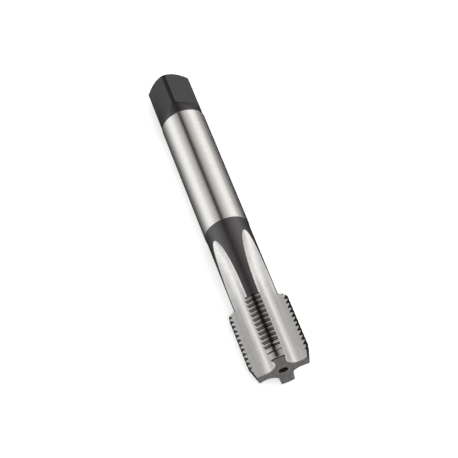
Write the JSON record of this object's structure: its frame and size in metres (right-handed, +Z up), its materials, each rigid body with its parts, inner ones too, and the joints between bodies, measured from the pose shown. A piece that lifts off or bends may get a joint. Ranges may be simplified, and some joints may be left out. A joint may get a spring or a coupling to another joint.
{
  "type": "thread tap",
  "caption": "Straight-fluted steel hand tap for pipe thread, with a threaded cutting head, round shank and square drive end.",
  "frame": {"origin": "under the middle of the tap's length, on the surface that its two lowest lands rest on", "axes": "+X along the tap's axis toward the cutting end, +Z up, two flats of the drive square facing +Z and -Z"},
  "size_m": [0.125, 0.0184, 0.0184],
  "materials": {
    "high_speed_steel": "bright ground shank, thread and flutes, with a black steam-oxide neck and square end"
  },
  "bodies": {
    "root": {"thread_tap": "high_speed_steel"}
  },
  "joints": []
}
